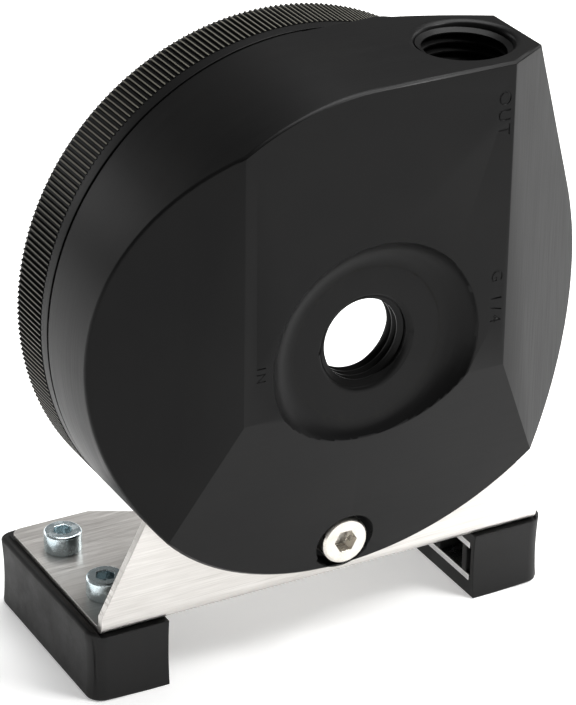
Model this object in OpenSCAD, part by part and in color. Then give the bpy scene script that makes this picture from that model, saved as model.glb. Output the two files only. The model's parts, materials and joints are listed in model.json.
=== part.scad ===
// Coolant pump top on a bent sheet bracket with two rubber feet.
// Millimetres. The pump axis runs along Y, the front of the housing faces -Y and +Z is up.
// Every module is drawn about the pump axis with the front facet at y = 0;
// stand() then sets the whole object on its feet, with the origin under the middle of its box.

/* [Pump interface] */
// Bore that the pump's flange drops into
seat_d = 63.6; // [52:0.2:78]
// Depth of the flange bore, measured from the end of the collar
seat_depth = 5.2; // [4:0.1:6]
// Ledge between the flange bore and the seal groove
seat_ledge = 1.8; // [1:0.1:3]
// Land between the seal groove and the impeller chamber
seal_land = 5; // [3:0.1:8]
// Cord diameter of the seal ring
seal_cord = 2.6; // [1.8:0.1:3.4]

/* [Housing] */
// Length of the housing from the front facet to its rear shoulder
housing_len = 22.4; // [18:0.1:32]
// Wall between the flange bore and the collar's thread
collar_wall = 3.2; // [2.4:0.1:5]
// Length of the threaded collar beyond what the clamp ring's travel needs
collar_spare = 1; // [0.5:0.1:3]
// Half the width of the flat central facet
facet_half_w = 20; // [17.5:0.1:24]
// Height of the facet's lower edge below the pump axis
facet_drop = 6.5; // [2:0.1:10]
// Slope of the left and right facets
side_slope = 31; // [15:0.5:35]
// Slope of the lower facet
lower_slope = 16; // [8:0.5:18]
// Wall left between the recess floor and the impeller chamber
front_wall = 6.1; // [4.5:0.1:8]

/* [Ports] */
// Major diameter of the pipe thread, G 1/4
port_d = 13.16; // [9:0.01:16]
// Chamfer at a port's mouth
port_chamfer = 0.77; // [0.3:0.01:1]
// Radius of the round recess about the inlet, at the front facet
recess_r = 15.8; // [13.5:0.1:17]
// Depth of that recess
recess_depth = 2.9; // [1:0.1:4]
// Radius of the fillet round the recess floor
recess_fillet = 5.1; // [4.2:0.1:8]
// Distance of the outlet from the middle plane
outlet_x = 18; // [12:0.1:20]
// Distance of the outlet behind the front facet
outlet_y = 10; // [9:0.1:12]
// Depth of the outlet's thread
outlet_depth = 13.7; // [10:0.1:16]
// Diameter of the passage below the outlet's thread
passage_d = 9.5; // [6:0.1:11]
// Wall beside the outlet's mouth
boss_wall = 1.05; // [0.8:0.05:3]

/* [Clamp ring] */
// Pitch of the ring's thread
thread_pitch = 1.5; // [1:0.25:2]
// Turns from home to free
thread_turns = 4; // [2:0.5:4]
// Radial clearance between the collar and the ring's bore
thread_clear = 0.3; // [0.2:0.05:0.5]
// Wall of the ring outside its thread
ring_wall = 2.7; // [2:0.1:5]
// Gap between the housing's shoulder and the ring
ring_gap = 0.5; // [0.3:0.05:1]
// Length of the smooth land in front of the knurl
ring_land = 2; // [0.8:0.1:3]
// How far the land lies below the knurl's tips
land_drop = 0.1; // [0.1:0.05:0.5]
// Thickness of the ring's lip
lip_t = 2.8; // [1.5:0.1:4]
// Chamfer on the ring's rear outer edge
ring_edge = 0.4; // [0.2:0.1:0.6]
// How far the lip reaches in over the pump's flange
lip_reach = 1.3; // [0.8:0.1:2]
// Thickness of the slip ring between the lip and the flange
slip_t = 0.6; // [0.4:0.05:1]
// Axial play on each side of the slip ring
slip_play = 0.1; // [0.05:0.01:0.2]

/* [Bracket] */
// Overall width of the bracket
bracket_w = 70.6; // [60:0.2:90]
// Thickness of the sheet
sheet_t = 1.2; // [0.8:0.1:1.5]
// Inside radius of the bend
bend_r = 0.8; // [0.5:0.1:2]
// Distance of the plate's front face ahead of the housing's shoulder
plate_from_rear = 9.7; // [9:0.1:12]
// Clearance in the slot on each side of the plate
slot_clear = 0.05; // [0.05:0.01:0.2]
// Wall between the impeller chamber and the slot
slot_wall = 3; // [2:0.1:4]
// Height of the bracket's underside below the housing
stand_off = 4; // [3:0.1:12]
// Height of the upright ends of the plate
end_h = 3.1; // [2.4:0.1:5]
// Slant of the plate's sides from upright
side_slant = 27.3; // [10:0.1:28]
// Depth of the bracket over its bend
flange_depth = 31; // [26:0.1:45]
// Radius of the flange's rear outer corners
tab_corner = 1.6; // [0.8:0.1:3]
// Half the width of the notch in the flange's rear edge
notch_half_w = 22.8; // [18:0.1:24]
// Depth of that notch
notch_depth = 6.7; // [2:0.1:10]

/* [Feet] */
// Width of a foot
foot_w = 12; // [9.6:0.1:15]
// Height of a foot
foot_h = 10.5; // [9.8:0.1:16]
// Rubber standing out past the bracket's edge
foot_lip = 1.6; // [1:0.1:2.5]
// Height of the lip above the foot's seat
lip_rise = 0.6; // [0.3:0.1:1]
// Radius of the outer upright corners
foot_corner = 2.5; // [1.2:0.1:3]
// Thickness of the steel strips in the feet
strip_t = 1; // [0.8:0.1:1.2]
// Rubber above the upper strip
strip_cover = 1.7; // [1.2:0.1:2]
// Rubber below the lower strip
strip_base = 2.35; // [1.5:0.05:3]
// Steel strip's distance from the foot's outer, front and rear faces
strip_inset = 1.5; // [1:0.1:2]
// Thickness of the rubber webs between the bays
web_t = 1.2; // [0.8:0.1:2]
// Rubber left between the bays and the foot's outer face
bay_wall = 2.5; // [2:0.1:4]
// Width of the bays nearest the foot's ends
end_bay_w = 1.4; // [1:0.1:3]

/* [Screws] */
// Nominal diameter of the bracket screw, M4
screw_d = 4; // [3:0.5:5]
// Length of the bracket screw below its head
screw_len = 8; // [6:0.5:8.5]
// Height of the bracket screw's axis above the housing's lowest point
screw_edge = 4.9; // [4.6:0.1:6]
// Wall between the screw's counterbore and the bracket's slot
seat_wall = 1.4; // [1:0.1:3]
// Nominal diameter of the foot screws, M3
foot_screw_d = 3; // [2:0.5:3.5]
// Length of a foot screw below its head
foot_screw_len = 5; // [4:0.5:6]
// Distance of the foot screws from the bracket's sides
foot_screw_inset = 4.8; // [4:0.1:6]
// Distance of the front foot screws behind the plate's front face
foot_screw_first = 8.9; // [8:0.1:10]
// Distance between the two screws of a foot
foot_screw_pitch = 14.2; // [12:0.1:16]
// Clearance round a screw in its thread
thread_play = 0.05; // [0.02:0.01:0.1]
// Radial clearance round a screw in a plain hole
hole_play = 0.125; // [0.1:0.025:0.5]
// Diameter of the plain holes under the feet, for M3 screws
case_hole_d = 3.6; // [3.6:0.1:4.5]
// Space left below a foot screw's tip
tip_room = 0.5; // [0.3:0.1:1]
// Thread left beyond the bracket screw's tip
thread_spare = 1; // [0.5:0.1:2]

/* [Hidden] */
$fn = 128;
LEFT = -1;
RIGHT = 1;
over = 1; // how far a cutter runs past the face it opens

// Turned diameters, from the pump's flange outwards
collar_d = seat_d + 2 * collar_wall;
ring_bore = collar_d + 2 * thread_clear;
ring_d = ring_bore + 2 * ring_wall;
housing_r = ring_d / 2;
groove_outer = seat_d - 2 * seat_ledge;
groove_fill = 0.87; // the cord's diameter as a share of its groove's width
groove_w = seal_cord / groove_fill;
cord_sink = 0.77; // share of the cord that lies below the ledge
groove_depth = seal_cord * cord_sink;
groove_inner = groove_outer - 2 * groove_w;
chamber_r = groove_inner / 2 - seal_land;
lip_bore = seat_d - 2 * lip_reach;

// Stations along the pump axis
ring_travel = thread_turns * thread_pitch;
collar_end = housing_len + ring_travel + collar_spare;
seat_floor = collar_end - seat_depth;
chamber_floor = recess_depth + front_wall;
ring_front = housing_len + ring_gap;
lip_front = collar_end + slip_t + 2 * slip_play;
ring_back = lip_front + lip_t;
plate_y = housing_len - plate_from_rear;

// Heights below the pump axis
slot_top = -(chamber_r + slot_wall);
screw_z = -(housing_r - screw_edge);
bracket_z = -(housing_r + stand_off);
shoulder_z = bracket_z + end_h;
floor_z = bracket_z - foot_h;

// Bracket and feet
half_w = bracket_w / 2;
flange_back = plate_y + flange_depth;
bend_outer = bend_r + sheet_t;
top_half_w = half_w - (slot_top - shoulder_z) * tan(side_slant);
foot_outer = half_w + foot_lip;
foot_inner = foot_outer - foot_w;
foot_back = flange_back + foot_lip;
foot_clear = 0.1; // gap between the foot's lip and the bracket's edge
strip_y = plate_y + strip_inset;
strip_back = foot_back - strip_inset;
strip_outer = foot_outer - strip_inset;
upper_strip_z = bracket_z - strip_cover - strip_t;
lower_strip_z = floor_z + strip_base;
screw_x = half_w - foot_screw_inset;
screw_rows = [plate_y + foot_screw_first, plate_y + foot_screw_first + foot_screw_pitch];
foot_screw_top = bracket_z + sheet_t;

// Cap screw proportions, after DIN 912
small_screw = 3.5; // screws thinner than this have the proportions of an M3, the others of an M4
function head_d(d) = d < small_screw ? d * 11 / 6 : d * 7 / 4;
function hex_size(d) = d < small_screw ? d * 5 / 6 : d * 3 / 4;
socket_depth = 0.5; // share of the head's height
counterbore_clear = 1; // gap round the bracket screw's head

// Outline of the housing: a circle with a corner drawn out over the outlet
boss_x = outlet_x + port_d / 2 + port_chamfer + boss_wall;
corner_r = norm([boss_x, housing_r]);
touch_a = atan2(housing_r, boss_x) - acos(housing_r / corner_r);
boss_chamfer = 1.7; // shoulder left outside the housing's circle before the rear cone
passage_run = 2; // how far the outlet's passage runs into the chamber

// Bays moulded into the inner side of a foot, about the middle of its screws
bay_mid = (screw_rows[0] + screw_rows[1]) / 2;
bay_shares = [0.36, 0.88]; // ends of the first two bays, as shares of the screws' pitch
bay_1 = foot_screw_pitch * bay_shares[0];
bay_2 = foot_screw_pitch * bay_shares[1];
bay_depth = foot_w - bay_wall;
bays = [[web_t / 2, bay_1], [bay_1 + web_t, bay_2], [bay_2 + web_t, bay_2 + web_t + end_bay_w]];

module stand() {
    translate([0, -foot_back / 2, -floor_z]) children();
}

// A cylinder along Y from y = a to y = b
module rod_y(r, a, b, x = 0, z = 0) {
    translate([x, b, z]) rotate([90, 0, 0]) cylinder(r = r, h = b - a);
}

// A cylinder along Z from z = a to z = b
module rod_z(r, a, b, x, y) {
    translate([x, y, a]) cylinder(r = r, h = b - a);
}

// A solid of revolution about the pump axis; the profile is drawn as [radius, -y]
module turned() {
    rotate([90, 0, 0]) rotate_extrude() children();
}

module outline() {
    circle(r = housing_r);
    polygon([[0, 0], [0, housing_r], [boss_x, housing_r],
             housing_r * [cos(touch_a), sin(touch_a)]]);
}

// Half-space cutter that slopes back from the front facet past an edge at x = 0
module facet_cutter(angle) {
    size = 4 * housing_r;
    rotate([0, 0, angle]) translate([0, -size, -size / 2]) cube([size, size, size]);
}

module blank() {
    intersection() {
        rotate([90, 0, 0]) translate([0, 0, -housing_len]) linear_extrude(housing_len) outline();
        rear_r = housing_r + boss_chamfer;
        translate([0, housing_len, 0]) rotate([90, 0, 0])
            cylinder(r1 = rear_r, r2 = rear_r + housing_len, h = housing_len);
    }
}

module facets() {
    translate([facet_half_w, 0, 0]) facet_cutter(side_slope);
    mirror([1, 0, 0]) translate([facet_half_w, 0, 0]) facet_cutter(side_slope);
    translate([0, 0, -facet_drop]) rotate([0, 90, 0]) facet_cutter(lower_slope);
}

// Round recess whose fillet runs out through the front facet
module recess() {
    floor_r = recess_r - sqrt(pow(recess_fillet, 2) - pow(recess_fillet - recess_depth, 2));
    turned() intersection() {
        translate([0, -recess_depth]) square([recess_r + over, recess_depth + over]);
        union() {
            translate([0, -recess_depth]) square([floor_r, recess_depth + over]);
            translate([floor_r, recess_fillet - recess_depth]) circle(r = recess_fillet);
        }
    }
}

module inlet_port() {
    mouth = recess_depth;
    r = port_d / 2;
    rod_y(r, mouth - over, chamber_floor + over);
    translate([0, mouth + port_chamfer, 0]) rotate([90, 0, 0])
        cylinder(r1 = r, r2 = r + port_chamfer, h = port_chamfer);
    translate([0, mouth, 0]) rotate([90, 0, 0]) cylinder(r = r + port_chamfer, h = over / 2);
}

module outlet_port() {
    r = port_d / 2;
    top = housing_r;
    rod_z(r, top - outlet_depth, top + over, outlet_x, outlet_y);
    translate([outlet_x, outlet_y, top - port_chamfer])
        cylinder(r1 = r, r2 = r + port_chamfer, h = port_chamfer);
    rod_z(r + port_chamfer, top, top + over, outlet_x, outlet_y);
    side = min(outlet_x, chamber_r - passage_run);
    passage_end = sqrt(pow(chamber_r, 2) - pow(side, 2)) - passage_run;
    rod_z(passage_d / 2, passage_end, top - outlet_depth + over, outlet_x, outlet_y);
}

module chamber() {
    rod_y(chamber_r, chamber_floor, seat_floor + over);
    rod_y(seat_d / 2, seat_floor, collar_end + over);
    difference() {
        rod_y(groove_outer / 2, seat_floor - groove_depth, seat_floor + over);
        rod_y(groove_inner / 2, seat_floor - groove_depth - over, seat_floor + 2 * over);
    }
}

// Slot that the bracket's plate slides into from below, and the screw that holds it there
module bracket_slot() {
    slot_w = 4 * housing_r;
    translate([-slot_w / 2, plate_y - slot_clear, slot_top - slot_w])
        cube([slot_w, sheet_t + 2 * slot_clear, slot_w + slot_clear]);
    seat_y = plate_y - seat_wall;
    rod_y(head_d(screw_d) / 2 + counterbore_clear, -over, seat_y, z = screw_z);
    rod_y(screw_d / 2 + hole_play, seat_y - over, plate_y, z = screw_z);
    rod_y(screw_d / 2 + thread_play, plate_y, seat_y + screw_len + thread_spare, z = screw_z);
}

module pump_top() {
    color([0.17, 0.17, 0.17]) stand() difference() {
        union() {
            difference() {
                blank();
                facets();
            }
            rod_y(collar_d / 2, housing_len - over, collar_end);
        }
        recess();
        inlet_port();
        outlet_port();
        chamber();
        bracket_slot();
    }
}

module clamp_ring() {
    color([0.14, 0.14, 0.14]) stand() turned() polygon([
        [ring_bore / 2, -ring_front],
        [ring_d / 2 - land_drop, -ring_front],
        [ring_d / 2 - land_drop, -(ring_front + ring_land)],
        [ring_d / 2, -(ring_front + ring_land + land_drop)],
        [ring_d / 2, -(ring_back - ring_edge)],
        [ring_d / 2 - ring_edge, -ring_back],
        [lip_bore / 2, -ring_back],
        [lip_bore / 2, -lip_front],
        [ring_bore / 2, -lip_front]]);
}

module slip_ring() {
    color([0.9, 0.9, 0.88]) stand() difference() {
        rod_y(ring_bore / 2 - 2 * thread_clear, collar_end + slip_play, lip_front - slip_play);
        rod_y(lip_bore / 2 + thread_clear, collar_end, lip_front);
    }
}

module seal_ring() {
    mean_r = (groove_outer - groove_w) / 2;
    color([0.08, 0.08, 0.08]) stand()
        turned() translate([mean_r, -(seat_floor - groove_depth + seal_cord / 2)])
            circle(d = seal_cord);
}

// Upright plate, drawn in X and Z
module plate_shape() {
    polygon([[-half_w, bracket_z + bend_outer], [half_w, bracket_z + bend_outer],
             [half_w, shoulder_z], [top_half_w, slot_top],
             [-top_half_w, slot_top], [-half_w, shoulder_z]]);
}

// Flat flange behind the bend, drawn in X and Y
module flange_shape() {
    notch_floor = notch_half_w - notch_depth / tan(side_slant);
    difference() {
        union() {
            translate([-half_w, plate_y + bend_outer])
                square([bracket_w, flange_depth - bend_outer - tab_corner]);
            translate([-half_w + tab_corner, plate_y + bend_outer])
                square([bracket_w - 2 * tab_corner, flange_depth - bend_outer]);
            for (side = [LEFT, RIGHT])
                translate([side * (half_w - tab_corner), flange_back - tab_corner])
                    circle(r = tab_corner);
        }
        polygon([[-notch_half_w, flange_back], [-notch_half_w, flange_back + over],
                 [notch_half_w, flange_back + over], [notch_half_w, flange_back],
                 [notch_floor, flange_back - notch_depth],
                 [-notch_floor, flange_back - notch_depth]]);
        for (side = [LEFT, RIGHT], y = screw_rows)
            translate([side * screw_x, y]) circle(r = foot_screw_d / 2 + hole_play);
    }
}

// Quarter bend between the plate and the flange, drawn in Y and Z
module bend_shape() {
    translate([plate_y + bend_outer, bracket_z + bend_outer]) intersection() {
        difference() {
            circle(r = bend_outer);
            circle(r = bend_r);
        }
        translate([-bend_outer, -bend_outer]) square(bend_outer);
    }
}

module bracket() {
    color([0.80, 0.78, 0.75]) stand() {
        difference() {
            translate([0, plate_y + sheet_t, 0]) rotate([90, 0, 0])
                linear_extrude(sheet_t) plate_shape();
            rod_y(screw_d / 2 + hole_play, plate_y - over, plate_y + sheet_t + over, z = screw_z);
        }
        translate([-half_w, 0, 0]) rotate([90, 0, 90]) linear_extrude(bracket_w) bend_shape();
        translate([0, 0, bracket_z]) linear_extrude(sheet_t) flange_shape();
    }
}

// Socket-head cap screw with its head on +Z and its seat at z = 0
module cap_screw(d, len) {
    chamfer = d / 12;
    head_r = head_d(d) / 2;
    socket_r = hex_size(d) / 2 / cos(30);
    difference() {
        union() {
            cylinder(r = head_r, h = d - chamfer);
            translate([0, 0, d - chamfer])
                cylinder(r1 = head_r, r2 = head_r - chamfer, h = chamfer);
            translate([0, 0, chamfer - len]) cylinder(r = d / 2, h = len);
            translate([0, 0, -len]) cylinder(r1 = d / 2 - chamfer, r2 = d / 2, h = chamfer);
        }
        translate([0, 0, d * (1 - socket_depth)]) cylinder(r = socket_r, h = d, $fn = 6);
    }
}

module bracket_screw() {
    color([0.78, 0.76, 0.72]) stand() translate([0, plate_y - seat_wall, screw_z])
        rotate([90, 0, 0]) cap_screw(screw_d, screw_len);
}

module foot_screw(side, row) {
    color([0.74, 0.80, 0.82]) stand()
        translate([side * screw_x, screw_rows[row], foot_screw_top])
            cap_screw(foot_screw_d, foot_screw_len);
}

// Plan of a foot with its outer upright corners rounded
module foot_plan() {
    r = foot_corner;
    depth = foot_back - plate_y;
    translate([foot_inner, plate_y]) square([foot_w - r, depth]);
    translate([foot_inner, plate_y + r]) square([foot_w, depth - 2 * r]);
    for (y = [plate_y + r, foot_back - r]) translate([foot_outer - r, y]) circle(r = r);
}

// Rubber foot for the right-hand side
module foot_block() {
    difference() {
        union() {
            translate([0, 0, floor_z]) linear_extrude(foot_h) foot_plan();
            translate([0, 0, bracket_z]) linear_extrude(lip_rise) difference() {
                foot_plan();
                translate([0, -over])
                    square([half_w + foot_clear, flange_back + foot_clear + over]);
            }
        }
        for (z = [upper_strip_z, lower_strip_z]) strip_blank(z, over);
        for (bay = bays, end = [-1, 1]) {
            low = end < 0 ? bay_mid - bay[1] : bay_mid + bay[0];
            translate([foot_inner - over, low, lower_strip_z + strip_t / 2])
                cube([bay_depth + over, bay[1] - bay[0],
                      upper_strip_z - lower_strip_z]);
        }
        for (y = screw_rows) {
            rod_z(foot_screw_d / 2 + hole_play, foot_screw_top - foot_screw_len - tip_room,
                  bracket_z + over, screw_x, y);
            rod_z(case_hole_d / 2, floor_z - over, lower_strip_z + over, screw_x, y);
        }
    }
}

// Solid steel strip for the right-hand side; reach extends it past the foot's inner face
module strip_blank(z, reach) {
    translate([foot_inner - reach, strip_y, z])
        cube([strip_outer - foot_inner + reach, strip_back - strip_y, strip_t]);
}

module strip(z) {
    difference() {
        strip_blank(z, 0);
        for (y = screw_rows)
            rod_z(foot_screw_d / 2 + thread_play, z - over, z + strip_t + over, screw_x, y);
    }
}

module on_side(side) {
    mirror([side == LEFT ? 1 : 0, 0, 0]) children();
}

module foot(side) {
    color([0.15, 0.15, 0.15]) stand() on_side(side) foot_block();
}

module upper_strip(side) {
    color([0.75, 0.75, 0.76]) stand() on_side(side) strip(upper_strip_z);
}

module lower_strip(side) {
    color([0.75, 0.75, 0.76]) stand() on_side(side) strip(lower_strip_z);
}

pump_top();
clamp_ring();
slip_ring();
seal_ring();
bracket();
bracket_screw();
foot(LEFT);  // foot_left
foot(RIGHT);  // foot_right
upper_strip(LEFT);  // upper_strip_left
upper_strip(RIGHT);  // upper_strip_right
lower_strip(LEFT);  // lower_strip_left
lower_strip(RIGHT);  // lower_strip_right
foot_screw(LEFT, 0);  // foot_screw_left_front
foot_screw(LEFT, 1);  // foot_screw_left_rear
foot_screw(RIGHT, 0);  // foot_screw_right_front
foot_screw(RIGHT, 1);  // foot_screw_right_rear
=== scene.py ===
"""Coolant pump top with a knurled clamp ring, on a bent sheet bracket with two rubber feet.

Each sub-assembly is a class that builds its meshes, dresses them and fixes them to their
body. Lengths in the dataclass fields are in metres unless a name says otherwise.
"""
import json
import logging
import math
from collections.abc import Callable
from dataclasses import dataclass, field, replace
from enum import Enum

import bmesh
import bpy
from mathutils import Matrix, Quaternion, Vector


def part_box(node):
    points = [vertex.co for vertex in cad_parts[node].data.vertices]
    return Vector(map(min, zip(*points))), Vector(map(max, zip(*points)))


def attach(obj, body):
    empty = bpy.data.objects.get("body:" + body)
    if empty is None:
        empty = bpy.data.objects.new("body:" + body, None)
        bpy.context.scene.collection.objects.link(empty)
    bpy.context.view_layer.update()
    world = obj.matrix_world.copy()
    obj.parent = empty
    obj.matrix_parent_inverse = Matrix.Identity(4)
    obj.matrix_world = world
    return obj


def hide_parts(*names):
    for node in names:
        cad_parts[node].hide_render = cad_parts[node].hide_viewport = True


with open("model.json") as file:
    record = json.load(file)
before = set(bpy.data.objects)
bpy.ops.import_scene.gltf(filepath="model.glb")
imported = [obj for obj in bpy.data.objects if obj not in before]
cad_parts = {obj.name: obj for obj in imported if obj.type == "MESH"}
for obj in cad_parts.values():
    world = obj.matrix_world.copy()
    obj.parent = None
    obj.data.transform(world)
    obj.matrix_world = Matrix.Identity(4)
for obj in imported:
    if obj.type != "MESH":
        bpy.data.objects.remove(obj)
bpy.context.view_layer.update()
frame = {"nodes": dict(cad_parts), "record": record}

EdgeTest = Callable[[bmesh.types.BMEdge], bool]

MM = 0.001
WELD_NODE = 0.0005 * MM
WELD_PART = 0.0002 * MM
FLAT_DEG = 0.3
SAME = 0.01 * MM
LOG = logging.getLogger("pump_top")

HOUSING = "housing"
SLIP_RING = "slip_ring"
CLAMP_RING = "clamp_ring"

Z_TO_Y = Matrix.Rotation(math.radians(-90), 4, "X")
MOUNTS = {mount["name"]: mount for mount in frame["record"]["mounts"]}
AXIS_Z = MOUNTS["inlet"]["pos_m"][2]
FRONT_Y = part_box("pump_top")[0].y


class Side(Enum):
    """Which side of its wall a thread's ridge stands on."""

    OUTWARD = 1
    INWARD = -1


# ---------------------------------------------------------------- finishes


class NodeTree:
    """A node tree being drawn up."""

    tree: bpy.types.NodeTree

    def add(self, kind: str, inputs: dict | None = None, **settings: object) -> bpy.types.Node:
        """Add a node.

        Args:
            kind: The node's type.
            inputs: Values or sockets for its inputs, by name or number.
            settings: The node's own properties.

        Returns:
            The new node.
        """
        node = self.tree.nodes.new(kind)
        for key, value in settings.items():
            setattr(node, key, value)
        for key, value in (inputs or {}).items():
            self.feed(node.inputs[key], value)
        return node

    def feed(self, socket: bpy.types.NodeSocket, value: object) -> None:
        """Join a socket to another one, or give it a plain value."""
        if isinstance(value, bpy.types.NodeSocket):
            self.tree.links.new(value, socket)
        else:
            socket.default_value = value


class Shading(NodeTree):
    """A material being drawn up from nodes, with short calls to add and join them."""

    def __init__(self, name: str) -> None:
        """Start an empty material.

        Args:
            name: The material's name.
        """
        self.material = bpy.data.materials.new(name)
        self.material.use_nodes = True
        self.tree = self.material.node_tree
        self.tree.nodes.clear()
        self.surface = self.add("ShaderNodeBsdfPrincipled")
        output = self.add("ShaderNodeOutputMaterial")
        self.tree.links.new(self.surface.outputs["BSDF"], output.inputs["Surface"])
        self.place = self.add("ShaderNodeTexCoord").outputs["Object"]

    def put(self, **values: object) -> None:
        """Set the surface's inputs, whose names are given with underscores for spaces."""
        for key, value in values.items():
            self.feed(self.surface.inputs[key.replace("_", " ")], value)

    def noise(
        self, steps: tuple[float, float, float], detail: float = 2.0, rough: float = 0.5
    ) -> bpy.types.NodeSocket:
        """Smooth noise on the object's coordinates.

        Args:
            steps: Steps of noise per metre along each axis.
            detail: Number of finer layers.
            rough: Strength of the finer layers.

        Returns:
            The noise, from 0 to 1.
        """
        mapping = self.add("ShaderNodeMapping", {"Vector": self.place, "Scale": steps})
        where = mapping.outputs["Vector"]
        inputs = {"Vector": where, "Scale": 1.0, "Detail": detail, "Roughness": rough}
        return self.add("ShaderNodeTexNoise", inputs).outputs[0]

    def spread(
        self,
        value: bpy.types.NodeSocket,
        low: float,
        high: float,
        start: float = 0.3,
        end: float = 0.7,
    ) -> bpy.types.NodeSocket:
        """Stretch a value to run from low to high as it goes from start to end."""
        inputs = {"Value": value, "From Min": start, "From Max": end, "To Min": low, "To Max": high}
        return self.add("ShaderNodeMapRange", inputs).outputs["Result"]

    def times(
        self, first: bpy.types.NodeSocket, second: bpy.types.NodeSocket | float
    ) -> bpy.types.NodeSocket:
        """The product of two values."""
        node = self.add("ShaderNodeMath", {0: first, 1: second}, operation="MULTIPLY")
        return node.outputs[0]

    def plus(
        self, first: bpy.types.NodeSocket, second: bpy.types.NodeSocket | float
    ) -> bpy.types.NodeSocket:
        """The sum of two values."""
        return self.add("ShaderNodeMath", {0: first, 1: second}, operation="ADD").outputs[0]

    def blend(
        self,
        share: bpy.types.NodeSocket,
        first: tuple[float, float, float],
        second: tuple[float, float, float],
    ) -> bpy.types.NodeSocket:
        """Mix two colours by a share from 0 to 1."""
        inputs = {0: share, 6: (*first, 1.0), 7: (*second, 1.0)}
        node = self.add("ShaderNodeMix", inputs, data_type="RGBA", clamp_factor=False)
        return node.outputs[2]

    def bump(
        self,
        height: bpy.types.NodeSocket,
        depth: float,
        under: bpy.types.NodeSocket | None = None,
    ) -> bpy.types.NodeSocket:
        """Raise the surface by height times depth.

        Args:
            height: Height from 0 to 1.
            depth: Full height in metres.
            under: An earlier bump to add to.

        Returns:
            The bent normal.
        """
        inputs = {"Height": height, "Distance": depth, "Strength": 1.0}
        if under is not None:
            inputs["Normal"] = under
        return self.add("ShaderNodeBump", inputs).outputs["Normal"]

    def radius(self) -> bpy.types.NodeSocket:
        """Distance from the pump axis, in metres."""
        moved = self.add(
            "ShaderNodeVectorMath", {0: self.place, 1: (0, 0, AXIS_Z)}, operation="SUBTRACT"
        )
        flat = self.add(
            "ShaderNodeVectorMath", {0: moved.outputs[0], 1: (1, 0, 1)}, operation="MULTIPLY"
        )
        length = self.add("ShaderNodeVectorMath", {0: flat.outputs[0]}, operation="LENGTH")
        return length.outputs["Value"]


@dataclass(frozen=True)
class TurnedPlastic:
    """Black acetal as it comes off the lathe and the mill, with a painted highlight along knurl
    crests.
    """

    name: str
    dark: tuple[float, float, float] = (0.0022, 0.0022, 0.0024)
    light: tuple[float, float, float] = (0.0046, 0.0045, 0.0043)
    roughness: tuple[float, float] = (0.30, 0.40)
    gloss: float = 0.12
    line_pitch: float = 0.16 * MM
    line_depth: float = 0.0022 * MM
    ring_pitch: float = 0.20 * MM
    ring_depth: float = 0.0030 * MM
    ring_reach: float = 60 * MM
    scuff_radius: float = 11.3 * MM
    scuff_width: float = 1.3 * MM
    crest_radius: float = 60 * MM
    crest_fade: float = 0.05 * MM
    # How far the crests' base colour is pushed towards light: a painted highlight on the knurl's
    # crests.
    painted_crest_highlight: float = 42.0
    groove_depth: float = 0.12 * MM
    groove_fade: float = 0.02 * MM
    groove_rough: float = 0.0
    scuff_line: tuple[float, float] = (0.04 * MM, 0.12 * MM)
    grain_depth: float = 0.0012 * MM

    def make(self) -> bpy.types.Material:
        """Build the material.

        Returns:
            The finished material.
        """
        shading = Shading(self.name)
        cloud = shading.noise((70, 70, 70), detail=4)
        across = 1 / self.line_pitch
        lines = shading.noise((90, across, 90), detail=3)
        radius = shading.radius()
        rings = shading.add(
            "ShaderNodeTexNoise",
            {"W": shading.times(radius, 1 / self.ring_pitch), "Scale": 1.0, "Detail": 2.0},
            noise_dimensions="1D",
        ).outputs[0]
        near = shading.spread(radius, 1, 0, self.ring_reach, self.ring_reach * 1.02)
        off = shading.add(
            "ShaderNodeMath", {0: radius, 1: self.scuff_radius}, operation="SUBTRACT"
        ).outputs[0]
        gap = shading.add("ShaderNodeMath", {0: off}, operation="ABSOLUTE").outputs[0]
        band = shading.spread(gap, 1, 0, 0, self.scuff_width)
        chatter = shading.noise((900, 900, 900), detail=5, rough=0.7)
        scuff = shading.times(band, shading.spread(chatter, 0, 1, 0.52, 0.66))
        line = shading.spread(gap, 1, 0, *self.scuff_line)
        scuff = shading.plus(scuff, shading.times(line, shading.spread(cloud, 0.4, 1.0)))
        share = shading.plus(shading.spread(cloud, 0, 0.7), shading.times(scuff, 2.5))
        # Painted highlight: beyond crest_radius the base colour is pushed far lighter, standing in
        # for light caught by the knurl crests.
        foot = self.crest_radius - self.crest_fade
        crest_highlight_mask = shading.spread(radius, 0, 1, foot, self.crest_radius)
        share = shading.plus(share, shading.times(crest_highlight_mask, self.painted_crest_highlight))
        deep = self.crest_radius - self.groove_depth
        groove = shading.spread(radius, 1, 0, deep, deep + self.groove_fade)
        groove = shading.times(groove, self.groove_rough)
        grain = shading.noise((5200, 5200, 5200), detail=2)
        rough = shading.spread(lines, *self.roughness)
        normal = shading.bump(lines, self.line_depth)
        normal = shading.bump(shading.times(rings, near), self.ring_depth, normal)
        normal = shading.bump(grain, self.grain_depth, normal)
        shading.put(
            Base_Color=shading.blend(share, self.dark, self.light),
            Roughness=shading.plus(rough, shading.times(shading.plus(scuff, groove), 0.3)),
            Normal=normal,
            Specular_IOR_Level=self.gloss,
        )
        return shading.material


@dataclass(frozen=True)
class EngravedPlastic:
    """Floor of the engraved marks, left a little paler and rougher by the cutter."""

    name: str
    dark: tuple[float, float, float] = (0.040, 0.040, 0.038)
    light: tuple[float, float, float] = (0.085, 0.084, 0.080)

    def make(self) -> bpy.types.Material:
        """Build the material and return it."""
        shading = Shading(self.name)
        chatter = shading.noise((6000, 6000, 6000), detail=3)
        shading.put(
            Base_Color=shading.blend(shading.spread(chatter, 0, 1), self.dark, self.light),
            Roughness=shading.spread(chatter, 0.5, 0.65),
            Normal=shading.bump(chatter, 0.006 * MM),
        )
        return shading.material


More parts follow.
